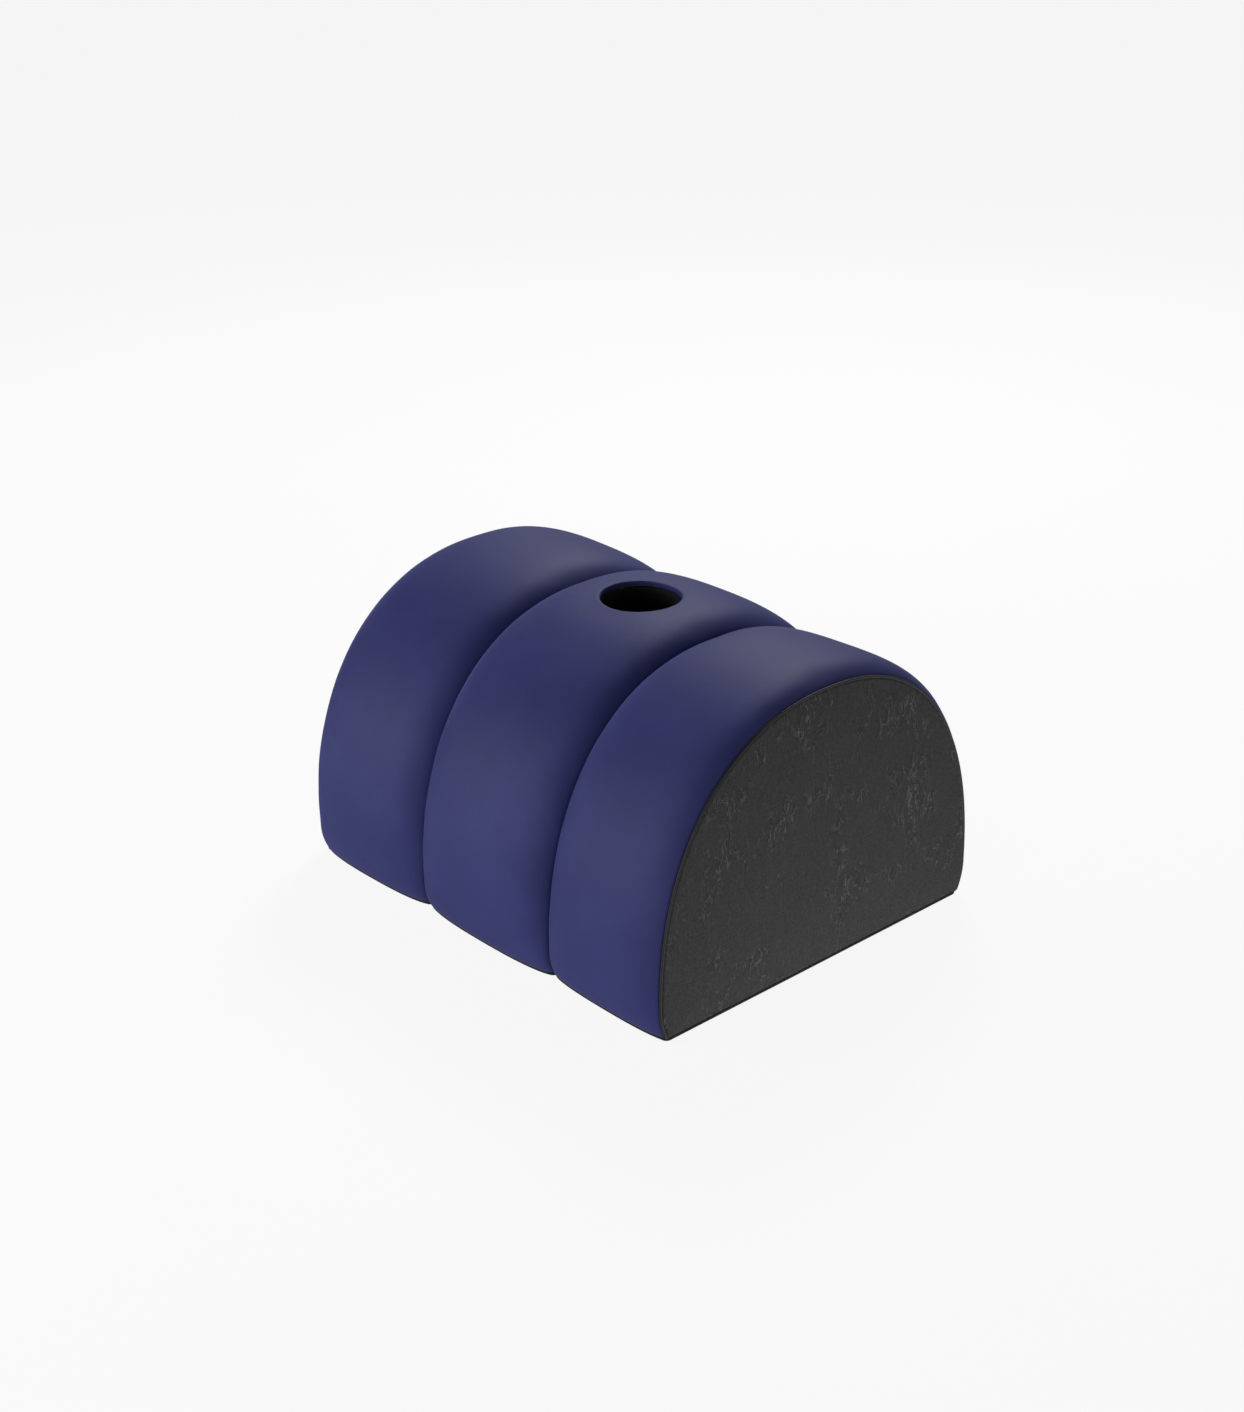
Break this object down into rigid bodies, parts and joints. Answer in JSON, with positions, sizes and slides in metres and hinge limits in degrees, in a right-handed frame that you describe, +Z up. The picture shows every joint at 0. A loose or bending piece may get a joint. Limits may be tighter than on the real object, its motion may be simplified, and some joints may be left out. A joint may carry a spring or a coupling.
{
  "type": "face cradle cushion",
  "caption": "Half-round floor cushion with puffed navy lobes, black D-shaped ends, a round hole through the middle lobe and a zipped cover.",
  "frame": {"origin": "middle of the cushion's footprint, on the surface that it rests on", "axes": "+X along the cushion, parallel to its grooves' spacing, towards the right end panel; -Y towards the front long side; +Z up"},
  "size_m": [0.424, 0.3622, 0.2535],
  "materials": {
    "navy_velour": "satin",
    "black_nubuck": "matte",
    "base_cloth": "matte",
    "liner_cloth": "matte",
    "inner_cloth": "matte",
    "seam_thread": "matte",
    "foam": "matte",
    "zip_cloth": "matte",
    "zip_nylon": "satin",
    "zip_metal": "satin",
    "label_cloth": "matte"
  },
  "bodies": {
    "cushion": {"cover_lobe_left": "navy_velour", "cover_lobe_middle": "navy_velour", "cover_lobe_right": "navy_velour", "hole_rim": "navy_velour", "foam_block_left": "foam", "foam_block_middle": "foam", "foam_block_right": "foam", "end_panel_left": "black_nubuck", "end_panel_right": "black_nubuck", "end_seam_left": "seam_thread", "end_seam_right": "seam_thread", "channel_seam_left": "seam_thread", "channel_seam_right": "seam_thread", "channel_wall_left": "inner_cloth", "channel_wall_right": "inner_cloth", "hole_liner": "liner_cloth", "base_panel": "base_cloth", "base_piping": "base_cloth", "zip_placket": "zip_cloth", "zip_tape_upper": "zip_cloth", "zip_tape_lower": "zip_cloth", "zip_chain": "zip_nylon", "zip_stop_left": "zip_metal", "zip_stop_right": "zip_metal", "care_label": "label_cloth"},
    "zip_slider_body": {"zip_slider": "zip_metal"},
    "zip_pull_body": {"zip_pull": "zip_metal"}
  },
  "joints": [
    {"name": "zip_slide", "type": "slide", "parent": "cushion", "child": "zip_slider_body", "axis": [-1, 0, 0], "range_m": [0, 0.336]},
    {"name": "zip_pull_turn", "type": "hinge", "parent": "zip_slider_body", "child": "zip_pull_body", "pos_m": [0.168, 0.17846, 0.036], "axis": [0, 0, -1], "range_deg": [0, 165]}
  ]
}
